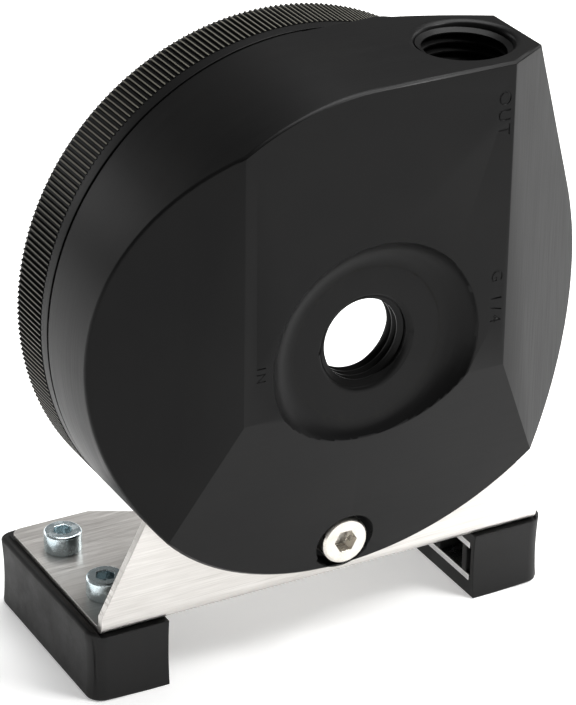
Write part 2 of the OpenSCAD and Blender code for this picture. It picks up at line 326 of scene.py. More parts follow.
@dataclass(frozen=True)
class BrushedSteel:
    """Stainless sheet brushed along X."""

    name: str
    dark: tuple[float, float, float] = (0.50, 0.48, 0.455)
    light: tuple[float, float, float] = (0.74, 0.72, 0.695)
    roughness: tuple[float, float] = (0.28, 0.44)
    stroke_pitch: float = 0.11 * MM
    stroke_length: float = 14 * MM

    def make(self) -> bpy.types.Material:
        """Build the material and return it."""
        shading = Shading(self.name)
        along, across = 1 / self.stroke_length, 1 / self.stroke_pitch
        strokes = shading.noise((along, across, across), detail=4, rough=0.65)
        coarse = shading.noise((along * 1.7, across / 5, across / 5), detail=3, rough=0.6)
        cloud = shading.noise((60, 60, 60), detail=3)
        mixed = shading.plus(shading.times(strokes, 0.6), shading.times(coarse, 0.4))
        share = shading.plus(
            shading.spread(mixed, 0, 0.8, 0.35, 0.65), shading.spread(cloud, -0.1, 0.2)
        )
        shading.put(
            Base_Color=shading.blend(share, self.dark, self.light),
            Roughness=shading.spread(mixed, *self.roughness, 0.35, 0.65),
            Normal=shading.bump(mixed, 0.006 * MM),
            Metallic=1.0,
        )
        return shading.material


@dataclass(frozen=True)
class CutSteel:
    """Edge of the sheet as the laser left it: pale ridges between darker grooves."""

    name: str
    dark: tuple[float, float, float] = (0.012, 0.011, 0.010)
    light: tuple[float, float, float] = (0.62, 0.60, 0.56)

    def make(self) -> bpy.types.Material:
        """Build the material and return it."""
        shading = Shading(self.name)
        streaks = shading.noise((1700, 300, 1700), detail=4, rough=0.7)
        share = shading.spread(streaks, 0, 1, 0.42, 0.56)
        shading.put(
            Base_Color=shading.blend(share, self.dark, self.light),
            Roughness=shading.spread(streaks, 0.6, 0.34),
            Normal=shading.bump(streaks, 0.03 * MM),
            Metallic=1.0,
        )
        return shading.material


@dataclass(frozen=True)
class PlatedSteel:
    """Bright metal of the screws and strips, with fine handling marks."""

    name: str
    dark: tuple[float, float, float]
    light: tuple[float, float, float]
    roughness: tuple[float, float]
    mark_scale: float = 700
    mark_depth: float = 0.004 * MM

    def make(self) -> bpy.types.Material:
        """Build the material and return it."""
        shading = Shading(self.name)
        cloud = shading.noise((self.mark_scale,) * 3, detail=4, rough=0.6)
        fine = shading.noise((2600, 2600, 9000), detail=3)
        shading.put(
            Base_Color=shading.blend(shading.spread(cloud, 0, 1), self.dark, self.light),
            Roughness=shading.spread(cloud, *self.roughness),
            Normal=shading.bump(fine, self.mark_depth),
            Metallic=1.0,
        )
        return shading.material


@dataclass(frozen=True)
class MouldedRubber:
    """Black rubber with a satin moulded skin and a little dust."""

    name: str
    dark: tuple[float, float, float] = (0.0030, 0.0030, 0.0031)
    light: tuple[float, float, float] = (0.0090, 0.0088, 0.0086)
    roughness: tuple[float, float] = (0.46, 0.62)
    grain_depth: float = 0.012 * MM
    sheen: float = 0.015
    gloss: float = 0.24

    def make(self) -> bpy.types.Material:
        """Build the material and return it."""
        shading = Shading(self.name)
        cloud = shading.noise((260, 260, 260), detail=5, rough=0.6)
        grain = shading.noise((3800, 3800, 3800), detail=3, rough=0.6)
        swell = shading.noise((420, 420, 420), detail=1)
        normal = shading.bump(swell, 0.02 * MM)
        shading.put(
            Base_Color=shading.blend(shading.spread(cloud, 0, 1), self.dark, self.light),
            Roughness=shading.spread(cloud, *self.roughness),
            Normal=shading.bump(grain, self.grain_depth, normal),
            Sheen_Weight=self.sheen,
            Sheen_Roughness=0.4,
            Specular_IOR_Level=self.gloss,
        )
        return shading.material


@dataclass(frozen=True)
class PalePlastic:
    """White bearing plastic of the slip ring."""

    name: str

    def make(self) -> bpy.types.Material:
        """Build the material and return it."""
        shading = Shading(self.name)
        cloud = shading.noise((400, 400, 400), detail=4)
        shading.put(
            Base_Color=shading.blend(cloud, (0.62, 0.61, 0.58), (0.80, 0.80, 0.78)),
            Roughness=shading.spread(cloud, 0.40, 0.52),
            Normal=shading.bump(cloud, 0.004 * MM),
            Subsurface_Weight=0.05,
        )
        return shading.material


@dataclass(frozen=True)
class FloorPaper:
    """Pale seamless paper under the object, lit a little from below."""

    name: str
    glow: float = 0.34

    def make(self) -> bpy.types.Material:
        """Build the material and return it."""
        shading = Shading(self.name)
        cloud = shading.noise((30, 30, 30), detail=3)
        shading.put(
            Base_Color=shading.blend(cloud, (0.86, 0.86, 0.855), (0.90, 0.90, 0.895)),
            Roughness=0.75,
            Emission_Color=(1.0, 1.0, 1.0, 1.0),
            Emission_Strength=self.glow,
        )
        return shading.material


class Finishes:
    """The materials of the object, made once and shared."""

    def __init__(self) -> None:
        """Make every material."""
        self.housing = TurnedPlastic("acetal_black", ring_reach=16 * MM).make()
        self.ring = TurnedPlastic(
            "ring_black",
            roughness=(0.30, 0.42),
            scuff_radius=34 * MM,
            scuff_width=4 * MM,
            groove_rough=0.35,
            # The painted crest highlight starts just under the knurl's tip radius.
            crest_radius=37.99 * MM,
        ).make()
        self.engraving = EngravedPlastic("engraved").make()
        self.sheet = BrushedSteel("brushed_sheet").make()
        self.cut = CutSteel("cut_edge").make()
        self.stainless = PlatedSteel(
            "stainless_screw", (0.60, 0.57, 0.52), (0.74, 0.71, 0.66), (0.22, 0.36)
        ).make()
        self.zinc = PlatedSteel(
            "zinc_screw", (0.60, 0.72, 0.76), (0.84, 0.93, 0.96), (0.16, 0.32)
        ).make()
        self.strip = PlatedSteel(
            "strip_steel", (0.62, 0.62, 0.62), (0.80, 0.80, 0.80), (0.16, 0.30), mark_scale=300
        ).make()
        self.foot = MouldedRubber("foot_rubber").make()
        self.seal = MouldedRubber(
            "seal_rubber", (0.010, 0.010, 0.010), (0.016, 0.016, 0.016), (0.34, 0.46), 0.004 * MM
        ).make()
        self.slip = PalePlastic("slip_white").make()


# ---------------------------------------------------------------- geometry nodes


class Builder(NodeTree):
    """A geometry node tree being drawn up, and the mesh that it makes."""

    def __init__(self, name: str) -> None:
        """Start an empty tree with one output.

        Args:
            name: The tree's name.
        """
        self.tree = bpy.data.node_groups.new(name, "GeometryNodeTree")
        self.tree.interface.new_socket(
            "Geometry", in_out="OUTPUT", socket_type="NodeSocketGeometry"
        )
        self.entry = self.tree.nodes.new("NodeGroupInput")
        self.exit = self.tree.nodes.new("NodeGroupOutput")
        self.values: dict[str, object] = {}

    def size(self, name: str, value: object, kind: str = "NodeSocketFloat") -> bpy.types.NodeSocket:
        """Add a named input and remember its value.

        Args:
            name: The input's name.
            value: Its value for this mesh.
            kind: Its socket type.

        Returns:
            The socket that gives it inside the tree.
        """
        item = self.tree.interface.new_socket(name, in_out="INPUT", socket_type=kind)
        self.values[item.identifier] = value
        return self.entry.outputs[name]

    def math(
        self, operation: str, first: object, second: object = 0.0
    ) -> bpy.types.NodeSocket:
        """Work out a number from one or two others."""
        return self.add("ShaderNodeMath", {0: first, 1: second}, operation=operation).outputs[0]

    def vector(self, x: object, y: object, z: object) -> bpy.types.NodeSocket:
        """Join three numbers into a vector."""
        return self.add("ShaderNodeCombineXYZ", {0: x, 1: y, 2: z}).outputs[0]

    def moved(self, geometry: bpy.types.NodeSocket, **places: object) -> bpy.types.NodeSocket:
        """Shift or turn a geometry by its Translation or Rotation."""
        return self.add("GeometryNodeTransform", {"Geometry": geometry, **places}).outputs[0]

    def finish(
        self, geometry: bpy.types.NodeSocket, material: bpy.types.Material
    ) -> bpy.types.Mesh:
        """Realize the geometry, give it a material and evaluate it.

        Args:
            geometry: The last geometry socket.
            material: The finish of the result.

        Returns:
            A plain mesh.
        """
        real = self.add("GeometryNodeRealizeInstances", {"Geometry": geometry})
        dressed = self.add(
            "GeometryNodeSetMaterial", {"Geometry": real.outputs[0], "Material": material}
        )
        self.tree.links.new(dressed.outputs[0], self.exit.inputs[0])
        holder = bpy.data.objects.new(self.tree.name, bpy.data.meshes.new(self.tree.name))
        bpy.context.scene.collection.objects.link(holder)
        modifier = holder.modifiers.new("build", "NODES")
        modifier.node_group = self.tree
        for identifier, value in self.values.items():
            modifier[identifier] = value
        graph = bpy.context.evaluated_depsgraph_get()
        mesh = bpy.data.meshes.new_from_object(holder.evaluated_get(graph))
        bpy.data.objects.remove(holder)
        return mesh


@dataclass(frozen=True)
class Thread:
    """A right-handed ridge wound about +Z, which fades in and out at its ends."""

    name: str
    radius: float
    pitch: float
    turns: float
    height: float
    base_share: float = 0.80
    tip_share: float = 0.16
    side: Side = Side.INWARD
    steps: int = 96
    fade_turns: float = 0.12

    def mesh(self, material: bpy.types.Material) -> bpy.types.Mesh:
        """Build the ridge.

        Args:
            material: Its finish.

        Returns:
            A closed mesh that starts at z = 0 on its wall's radius.
        """
        build = Builder(self.name)
        turns = build.size("Turns", self.turns)
        radius = build.size("Wall Radius", self.radius)
        length = build.size("Length", self.turns * self.pitch)
        height = build.size("Ridge Height", self.height)
        base = build.size("Base Width", self.pitch * self.base_share)
        tip = build.size("Tip Width", self.pitch * self.tip_share)
        steps = build.size("Steps", self.steps, "NodeSocketInt")
        fade = build.size("Fade", self.turns / self.fade_turns)
        spiral = build.add(
            "GeometryNodeCurveSpiral",
            {
                "Resolution": steps,
                "Rotations": turns,
                "Start Radius": radius,
                "End Radius": radius,
                "Height": length,
                "Reverse": True,
            },
        )
        upright = build.add("GeometryNodeSetCurveNormal", {"Curve": spiral.outputs[0]}, mode="Z_UP")
        shape = build.add(
            "GeometryNodeCurvePrimitiveQuadrilateral",
            {"Height": height, "Bottom Width": base, "Top Width": tip, "Offset": 0.0},
            mode="TRAPEZOID",
        )
        lift = build.vector(0.0, build.math("MULTIPLY", height, 0.45), 0.0)
        raised = build.moved(shape.outputs[0], Translation=lift)
        turned = build.moved(raised, Rotation=(0, 0, math.radians(-90) * self.side.value))
        along = build.add("GeometryNodeSplineParameter").outputs["Factor"]
        rising = build.math("MULTIPLY", along, fade)
        falling = build.math("MULTIPLY", build.math("SUBTRACT", 1.0, along), fade)
        scale = build.math("MINIMUM", build.math("MINIMUM", rising, falling), 1.0)
        grown = build.math("MAXIMUM", scale, 0.05)
        ridge = build.add(
            "GeometryNodeCurveToMesh",
            {
                "Curve": upright.outputs[0],
                "Profile Curve": turned,
                "Scale": grown,
                "Fill Caps": True,
            },
        )
        return build.finish(ridge.outputs[0], material)


@dataclass(frozen=True)
class Knurl:
    """Straight ribs round the clamp ring, one shape repeated about the pump axis."""

    name: str = "knurl"
    count: int = 300
    root_radius: float = 37.62 * MM
    tip_radius: float = 38.0 * MM
    start_y: float = 0.0
    length: float = 8.0 * MM
    base_share: float = 0.60
    tip_share: float = 0.36
    slope: float = 0.10 * MM

    def mesh(self, material: bpy.types.Material) -> bpy.types.Mesh:
        """Build all the ribs.

        Args:
            material: Their finish.

        Returns:
            One mesh, about the pump axis.
        """
        build = Builder(self.name)
        count = build.size("Count", self.count, "NodeSocketInt")
        root = build.size("Root Radius", self.root_radius)
        height = build.size("Rib Height", self.tip_radius - self.root_radius)
        pitch = 2 * math.pi * self.root_radius / self.count
        width = build.size("Rib Width", pitch * self.base_share)
        tip_share = build.size("Tip Share", self.tip_share)
        length = build.size("Length", self.length)
        slope = build.size("End Slope", self.slope)
        start = build.size("Start", self.start_y)
        block = build.add("GeometryNodeMeshCube", {"Size": build.vector(width, length, height)})
        corner = build.add("GeometryNodeInputPosition").outputs[0]
        spot = build.add("ShaderNodeSeparateXYZ", {0: corner})
        top = build.add(
            "FunctionNodeCompare", {0: spot.outputs[2], 1: 0.0}, operation="GREATER_THAN"
        )
        narrow = build.math("MULTIPLY", spot.outputs[0], tip_share)
        end = build.math("SUBTRACT", build.math("MULTIPLY", length, 0.5), slope)
        short = build.math("MULTIPLY", build.math("SIGN", spot.outputs[1]), end)
        rib = build.add(
            "GeometryNodeSetPosition",
            {
                "Geometry": block.outputs[0],
                "Selection": top.outputs[0],
                "Position": build.vector(narrow, short, spot.outputs[2]),
            },
        )
        out = build.math("ADD", root, build.math("MULTIPLY", height, 0.5))
        middle = build.math("ADD", start, build.math("MULTIPLY", length, 0.5))
        placed = build.moved(rib.outputs[0], Translation=build.vector(0.0, middle, out))
        points = build.add("GeometryNodePoints", {"Count": count})
        step = build.math("DIVIDE", 2 * math.pi, count)
        index = build.add("GeometryNodeInputIndex").outputs[0]
        angle = build.math("MULTIPLY", index, step)
        ribs = build.add(
            "GeometryNodeInstanceOnPoints",
            {
                "Points": points.outputs[0],
                "Instance": placed,
                "Rotation": build.vector(0.0, angle, 0.0),
            },
        )
        centred = build.moved(ribs.outputs[0], Translation=(0, 0, AXIS_Z))
        return build.finish(centred, material)


@dataclass(frozen=True)
class CutMarks:
    """Uneven little ribs that the laser leaves across the cut edge of a sheet."""

    name: str
    start: Vector
    end: Vector
    thickness: float
    pitch: float = 0.42 * MM
    width: float = 0.20 * MM
    height: float = 0.10 * MM
    seed: int = 7

    def mesh(self, material: bpy.types.Material) -> bpy.types.Mesh:
        """Build the ribs.

        Args:
            material: Their finish.

        Returns:
            One mesh of separate ribs along the edge, across the sheet's thickness in Y.
        """
        run = self.end - self.start
        tilt = math.atan2(-run.z, run.x)
        build = Builder(self.name)
        count = build.size("Count", max(2, int(run.length / self.pitch)), "NodeSocketInt")
        start = build.size("Start", self.start, "NodeSocketVector")
        end = build.size("End", self.end, "NodeSocketVector")
        size = build.size(
            "Rib Size", Vector((self.width, self.thickness, self.height)), "NodeSocketVector"
        )
        angle = build.size("Tilt", tilt)
        seed = build.size("Seed", self.seed, "NodeSocketInt")
        line = build.add(
            "GeometryNodeMeshLine",
            {"Count": count, "Start Location": start, "Offset": end},
            mode="END_POINTS",
        )
        block = build.add("GeometryNodeMeshCube", {"Size": size})
        lean = build.add(
            "FunctionNodeRandomValue", {2: 0.35, 3: 1.0, "Seed": seed}, data_type="FLOAT"
        ).outputs[1]
        wide = build.add(
            "FunctionNodeRandomValue",
            {2: 0.5, 3: 1.5, "Seed": build.math("ADD", seed, 1.0)},
            data_type="FLOAT",
        ).outputs[1]
        ribs = build.add(
            "GeometryNodeInstanceOnPoints",
            {
                "Points": line.outputs[0],
                "Instance": block.outputs[0],
                "Rotation": build.vector(0.0, angle, 0.0),
                "Scale": build.vector(wide, 1.0, lean),
            },
        )
        return build.finish(ribs.outputs[0], material)


# ---------------------------------------------------------------- mesh work


def node_copy(name: str) -> bmesh.types.BMesh:
    """A merged copy of a CAD node's mesh, with its flat faces made whole.

    Args:
        name: The node.

    Returns:
        The copy, ready to be changed.
    """
    shape = bmesh.new()
    shape.from_mesh(frame["nodes"][name].data)
    bmesh.ops.remove_doubles(shape, verts=shape.verts, dist=WELD_NODE)
    flat = math.radians(FLAT_DEG)
    bmesh.ops.dissolve_limit(shape, angle_limit=flat, verts=shape.verts, edges=shape.edges)
    return shape


def ease_edges(
    shape: bmesh.types.BMesh,
    width: float,
    chosen: EdgeTest | None = None,
    segments: int = 2,
    angle_deg: float = 28,
) -> None:
    """Round the sharp edges of a mesh.

    Args:
        shape: The mesh.
        width: Width of the rounding.
        chosen: A test that takes an edge and says whether to round it, or None for all.
        segments: Steps across the rounding.
        angle_deg: Edges flatter than this are left.
    """
    limit = math.radians(angle_deg)
    edges = [
        edge
        for edge in shape.edges
        if len(edge.link_faces) == 2
        and edge.calc_face_angle(0) > limit
        and (chosen is None or chosen(edge))
    ]
    bmesh.ops.bevel(
        shape,
        geom=edges,
        offset=width,
        offset_type="OFFSET",
        segments=segments,
        profile=0.5,
        affect="EDGES",
        clamp_overlap=False,
    )


def lathe(profile: list[tuple[float, float]], segments: int = 192) -> bmesh.types.BMesh:
    """Turn a closed outline about the pump axis.

    Args:
        profile: Its corners as radius and y.
        segments: Steps round the axis.

    Returns:
        The turned solid.
    """
    shape = bmesh.new()
    rows = []
    for step in range(segments):
        angle = 2 * math.pi * step / segments
        rows.append(
            [
                shape.verts.new((r * math.cos(angle), y, AXIS_Z + r * math.sin(angle)))
                for r, y in profile
            ]
        )
    for step, row in enumerate(rows):
        following = rows[(step + 1) % segments]
        for i in range(len(profile)):
            j = (i + 1) % len(profile)
            shape.faces.new((row[i], row[j], following[j], following[i]))
    bmesh.ops.recalc_face_normals(shape, faces=shape.faces)
    return shape


def join_in(
    shape: bmesh.types.BMesh,
    mesh: bpy.types.Mesh,
    place: Matrix = Matrix.Identity(4),
    slot: int = 0,
) -> None:
    """Add a mesh to another, with its normals set outwards.

    Args:
        shape: The mesh that grows.
        mesh: The mesh that is added, and then removed.
        place: Where it goes.
        slot: Its material's number on the finished piece.
    """
    part = bmesh.new()
    part.from_mesh(mesh)
    bmesh.ops.remove_doubles(part, verts=part.verts, dist=WELD_PART)
    part.transform(place)
    bmesh.ops.recalc_face_normals(part, faces=part.faces)
    for face in part.faces:
        face.material_index = slot
    part.to_mesh(mesh)
    part.free()
    shape.from_mesh(mesh)
    bpy.data.meshes.remove(mesh)


def evaluated(piece: bpy.types.Object) -> None:
    """Apply the modifiers of a piece to its mesh."""
    graph = bpy.context.evaluated_depsgraph_get()
    graph.update()
    mesh = bpy.data.meshes.new_from_object(piece.evaluated_get(graph))
    old = piece.data
    piece.modifiers.clear()
    piece.data = mesh
    bpy.data.meshes.remove(old)


def make_piece(
    name: str,
    shape: bmesh.types.BMesh,
    materials: list[bpy.types.Material],
    smooth_deg: float = 38,
) -> bpy.types.Object:
    """Turn a mesh into a finished object with clean shading.

    Args:
        name: The piece's name.
        shape: Its mesh, which is freed.
        materials: Its finishes, in slot order.
        smooth_deg: Edges sharper than this stay crisp.

    Returns:
        The object, at the origin.
    """
    mesh = bpy.data.meshes.new(name)
    shape.to_mesh(mesh)
    shape.free()
    mesh.materials.clear()
    for material in materials:
        mesh.materials.append(material)
    for face in mesh.polygons:
        face.use_smooth = True
    mesh.set_sharp_from_angle(angle=math.radians(smooth_deg))
    piece = bpy.data.objects.new(name, mesh)
    bpy.context.scene.collection.objects.link(piece)
    weighted = piece.modifiers.new("normals", "WEIGHTED_NORMAL")
    weighted.keep_sharp = True
    weighted.weight = 80
    return piece


def settle(piece: bpy.types.Object, body: str, slot: str, *nodes: str) -> bpy.types.Object:
    """Apply a piece's modifiers and fix it to its body in place of its CAD nodes.

    Args:
        piece: The finished piece.
        body: The body that it rides on.
        slot: The record's material slot; not used.
        nodes: The CAD nodes that it stands for.

    Returns:
        The piece.
    """
    evaluated(piece)
    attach(piece, body)
    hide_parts(*nodes)
    triangles = sum(len(face.vertices) - 2 for face in piece.data.polygons)
    LOG.info("%s on %s: %d triangles", piece.name, body, triangles)
    return piece


# ---------------------------------------------------------------- sub-assemblies


@dataclass(frozen=True)
class Mark:
    """A short generic mark on the front facet, which reads downwards."""

    text: str
    x: float
    height: float
    size: float
    spacing: float

    def mesh(self, depth: float) -> bpy.types.Mesh:
        """Build the cutter of the mark.

        Args:
            depth: How deep it is cut.

        Returns:
            The letters as solids that stand through the facet's surface.
        """
        curve = bpy.data.curves.new(f"mark_{self.text}", "FONT")
        curve.body = self.text
        curve.size = self.size
        curve.extrude = depth
        curve.align_x = "CENTER"
        curve.align_y = "CENTER"
        curve.space_character = self.spacing
        curve.resolution_u = 6
        holder = bpy.data.objects.new(curve.name, curve)
        bpy.context.scene.collection.objects.link(holder)
        graph = bpy.context.evaluated_depsgraph_get()
        mesh = bpy.data.meshes.new_from_object(holder.evaluated_get(graph))
        bpy.data.objects.remove(holder)
        bpy.data.curves.remove(curve)
        turn = Matrix(((0, 1, 0), (0, 0, -1), (-1, 0, 0))).to_4x4()
        mesh.transform(Matrix.Translation((self.x, FRONT_Y, AXIS_Z + self.height)) @ turn)
        return mesh


@dataclass
class PumpTop:
    """The machined housing with its two threaded ports and the collar's thread."""

    finishes: Finishes
    rim_width: float = 0.40 * MM
    rim_inside: float = 35.6 * MM
    fine_width: float = 0.12 * MM
    ridge_x: float = 19.9 * MM
    ridge_y: float = -14.9 * MM
    rear_depth: float = 0.5 * MM
    rear_reach: float = 38.1 * MM
    ring_gap: float = 0.5 * MM
    port_pitch: float = 1.337 * MM
    port_depth: float = 0.80 * MM
    thread_start: float = 0.1 * MM
    collar_radius: float = 35 * MM
    collar_core: float = 34.15 * MM
    collar_start: float = 0.6 * MM
    collar_pitch: float = 1.5 * MM
    collar_turns: float = 3.9
    mark_depth: float = 0.06 * MM
    marks: tuple[Mark, ...] = (
        Mark("IN", -17.65 * MM, 0.6 * MM, 2.0 * MM, 1.35),
        Mark("OUT", 18.35 * MM, 31.0 * MM, 2.7 * MM, 1.25),
        Mark("G 1/4", 18.30 * MM, 4.2 * MM, 2.5 * MM, 1.45),
    )

    def edge_width(self, edge: bmesh.types.BMEdge, shoulder: float) -> float:
        """How far an edge of the housing is eased, by where it lies.

        Args:
            edge: The edge.
            shoulder: Where the housing's rear shoulder stands.

        Returns:
            The width of its rounding.
        """
        middle = (edge.verts[0].co + edge.verts[1].co) / 2
        radius = math.hypot(middle.x, middle.z - AXIS_Z)
        if radius > self.rim_inside and middle.y > shoulder - self.rear_depth:
            return self.fine_width if radius < self.rear_reach else 0.0
        if radius > self.rim_inside:
            return self.rim_width
        if abs(middle.x) > self.ridge_x and middle.z > AXIS_Z and middle.y < self.ridge_y:
            return self.fine_width
        return 0.0

    def thin_collar(self, shape: bmesh.types.BMesh, shoulder: float) -> None:
        """Draw the collar in to its thread's core.

        Args:
            shape: The housing.
            shoulder: Where the housing's rear shoulder stands.
        """
        for vertex in shape.verts:
            radius = math.hypot(vertex.co.x, vertex.co.z - AXIS_Z)
            on_collar = abs(radius - self.collar_radius) < 5 * SAME
            if on_collar and vertex.co.y > shoulder - 10 * SAME:
                vertex.co.x *= self.collar_core / radius
                vertex.co.z = AXIS_Z + (vertex.co.z - AXIS_Z) * self.collar_core / radius

    def engraved(self, shape: bmesh.types.BMesh) -> bmesh.types.BMesh:
        """Cut the port marks into the front facet.

        Args:
            shape: The housing, which is freed.

        Returns:
            The housing with its marks, whose floors have the second material.
        """
        cutter = bmesh.new()
        for mark in self.marks:
            join_in(cutter, mark.mesh(self.mark_depth), slot=1)
        blank = make_piece("blank", shape, [self.finishes.housing, self.finishes.engraving])
        blank.modifiers.clear()
        tool = make_piece("marks", cutter, [self.finishes.housing, self.finishes.engraving])
        tool.modifiers.clear()
        cut = blank.modifiers.new("marks", "BOOLEAN")
        cut.operation = "DIFFERENCE"
        cut.solver = "EXACT"
        cut.use_hole_tolerant = True
        cut.object = tool
        evaluated(blank)
        result = bmesh.new()
        result.from_mesh(blank.data)
        for item in (blank, tool):
            mesh = item.data
            bpy.data.objects.remove(item)
            bpy.data.meshes.remove(mesh)
        return result

    def port_thread(self, name: str, mount: str) -> tuple[bpy.types.Mesh, Matrix]:
        """The thread ridge of a port and the place where it goes."""
        port = MOUNTS[mount]
        dims = port["dims"]
        length = dims["length_mm"] * MM
        turns = (length - self.thread_start) / self.port_pitch
        thread = Thread(name, dims["r_mm"] * MM, self.port_pitch, turns, self.port_depth)
        middle = Vector(port["pos_m"])
        axis = Vector(port["axis"])
        deep = middle - axis * (length / 2)
        turn = Vector((0, 0, 1)).rotation_difference(axis).to_matrix().to_4x4()
        return thread.mesh(self.finishes.housing), Matrix.Translation(deep) @ turn

    def build(self) -> bpy.types.Object:
        """Build the housing.

        Returns:
            The finished piece.
        """
        shape = node_copy("pump_top")
        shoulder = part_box("clamp_ring")[0].y - self.ring_gap
        self.thin_collar(shape, shoulder)
        # The fine edges are eased twice, so that they come out rounder
        for width, steps in ((self.rim_width, 1), (self.fine_width, 2), (self.fine_width, 2)):
            ease_edges(
                shape,
                width,
                lambda edge, w=width: self.edge_width(edge, shoulder) == w,
                segments=steps,
                angle_deg=14,
            )
        shape = self.engraved(shape)
        for name, mount in (("inlet_thread", "inlet"), ("outlet_thread", "outlet")):
            mesh, place = self.port_thread(name, mount)
            join_in(shape, mesh, place)
        ridge = Thread(
            "collar_thread",
            self.collar_core,
            self.collar_pitch,
            self.collar_turns,
            self.collar_radius - self.collar_core,
            side=Side.OUTWARD,
            steps=160,
            tip_share=0.2,
        )
        place = Matrix.Translation((0, shoulder + self.collar_start, AXIS_Z)) @ Z_TO_Y
        join_in(shape, ridge.mesh(self.finishes.housing), place)
        piece = make_piece("pump_housing", shape, [self.finishes.housing, self.finishes.engraving])
        return settle(piece, HOUSING, "housing_black", "pump_top")


@dataclass
class ClampRing:
    """The knurled ring that screws onto the collar and holds the pump's flange."""

    finishes: Finishes
    knurl: Knurl = field(default_factory=Knurl)
    land: float = 2.0 * MM
    land_drop: float = 0.1 * MM
    bore_radius: float = 35.3 * MM
    edge: float = 0.4 * MM
    corner: float = 0.12 * MM
    band_step: float = 0.02 * MM
    rib_overlap: float = 0.1 * MM
    thread_start: float = 0.95 * MM
    thread_pitch: float = 1.5 * MM
    thread_turns: float = 3.3
    thread_height: float = 0.85 * MM

    def build(self) -> bpy.types.Object:
        """Build the ring.

        Returns:
            The finished piece.
        """
        low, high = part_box("clamp_ring")
        outer = (high.x - low.x) / 2
        opening = MOUNTS["pump_opening"]["dims"]
        lip_radius = opening["r_mm"] * MM
        lip_y = high.y - opening["length_mm"] * MM
        land_r = outer - self.land_drop
        root = self.knurl.root_radius
        band = low.y + self.land
        shape = lathe(
            [
                (self.bore_radius, low.y),
                (land_r, low.y),
                (land_r, band - self.band_step),
                (root, band),
                (root, high.y - self.edge * 0.6),
                (outer - self.edge, high.y),
                (lip_radius, high.y),
                (lip_radius, lip_y),
                (self.bore_radius, lip_y),
            ],
            segments=240,
        )
        ease_edges(shape, self.corner, angle_deg=40)
        length = high.y - band - self.edge + self.rib_overlap
        ribs = replace(self.knurl, start_y=band - self.rib_overlap, length=length)
        join_in(shape, ribs.mesh(self.finishes.ring))
        thread = Thread(
            "ring_thread",
            self.bore_radius,
            self.thread_pitch,
            self.thread_turns,
            self.thread_height,
            base_share=0.72,
            tip_share=0.14,
            steps=160,
        )
        place = Matrix.Translation((0, low.y + self.thread_start, AXIS_Z)) @ Z_TO_Y
        join_in(shape, thread.mesh(self.finishes.ring), place)
        piece = make_piece("clamp_ring_knurled", shape, [self.finishes.ring], smooth_deg=30)
        return settle(piece, CLAMP_RING, "ring_black", "clamp_ring")


@dataclass
class SlipRing:
    """The thin washer between the clamp ring's lip and the pump's flange."""

    finishes: Finishes
    inner_radius: float = 30.8 * MM
    corner: float = 0.12 * MM

    def build(self) -> bpy.types.Object:
        """Build the washer and return it."""
        low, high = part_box("slip_ring")
        outer = (high.x - low.x) / 2
        inner = self.inner_radius
        shape = lathe([(inner, low.y), (outer, low.y), (outer, high.y), (inner, high.y)])
        ease_edges(shape, self.corner)
        piece = make_piece("slip_ring_washer", shape, [self.finishes.slip])
        return settle(piece, SLIP_RING, "slip_white", "slip_ring")


@dataclass
class SealRing:
    """The rubber ring in the groove under the pump's flange, with its moulding line."""

    finishes: Finishes
    sides: int = 28
    flash: float = 0.03 * MM

    def build(self) -> bpy.types.Object:
        """Build the ring and return it."""
        low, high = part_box("seal_ring")
        cord = (high.y - low.y) / 2
        mean = (high.x - low.x) / 2 - cord
        middle = (low.y + high.y) / 2
        profile = []
        for step in range(self.sides):
            angle = 2 * math.pi * step / self.sides
            on_line = step == self.sides // 2
            reach = cord + (self.flash if on_line else 0)
            profile.append((mean + reach * math.cos(angle), middle + reach * math.sin(angle)))
        piece = make_piece("seal_cord", lathe(profile), [self.finishes.seal])
        return settle(piece, HOUSING, "seal_rubber", "seal_ring")


@dataclass
class Bracket:
    """The bent sheet bracket, with eased faces and laser-cut edges."""

    finishes: Finishes
    edge: float = 0.07 * MM
    thickness: float = 1.2 * MM
    plate_foot: float = 3 * MM
    mark_gap: float = 0.4 * MM
    mark_sink: float = 0.03 * MM
    cut_slope: float = 0.4
    cut_area: float = 0.2 * MM * MM

    def cut_face(self, face: bmesh.types.BMFace) -> bool:
        """Whether a face is a cut edge of the plate or of the flange's sides."""
        return abs(face.normal.x) > self.cut_slope and face.calc_area() > self.cut_area

    def build(self) -> bpy.types.Object:
        """Build the bracket.

        Returns:
            The finished piece.
        """
        shape = node_copy("bracket")
        low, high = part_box("bracket")
        front = low.y
        ease_edges(shape, self.edge, angle_deg=40)
        for face in shape.faces:
            face.material_index = 1 if self.cut_face(face) else 0
        plate = [
            v.co
            for v in shape.verts
            if v.co.y < front + self.thickness and v.co.z > low.z + self.plate_foot
        ]
        top_half = max(abs(p.x) for p in plate if p.z > high.z - 20 * SAME)
        shoulder = max(p.z for p in plate if abs(p.x) > high.x - SAME)
        middle = front + self.thickness / 2
        depth = self.thickness - 2 * self.edge
        for name, sign, seed in (("left", -1, 7), ("right", 1, 19)):
            start = Vector((sign * high.x, middle, shoulder))
            end = Vector((sign * top_half, middle, high.z))
            run = (end - start).normalized()
            inward = Vector((-run.z, 0, run.x)) * self.mark_sink
            if inward.x * sign > 0:
                inward = -inward
            marks = CutMarks(
                f"cut_marks_{name}",
                start + run * self.mark_gap + inward,
                end - run * self.mark_gap + inward,
                depth,
                seed=seed,
            )
            join_in(shape, marks.mesh(self.finishes.cut), slot=1)
        piece = make_piece("bracket_sheet", shape, [self.finishes.sheet, self.finishes.cut])
        return settle(piece, HOUSING, "brushed_sheet", "bracket")


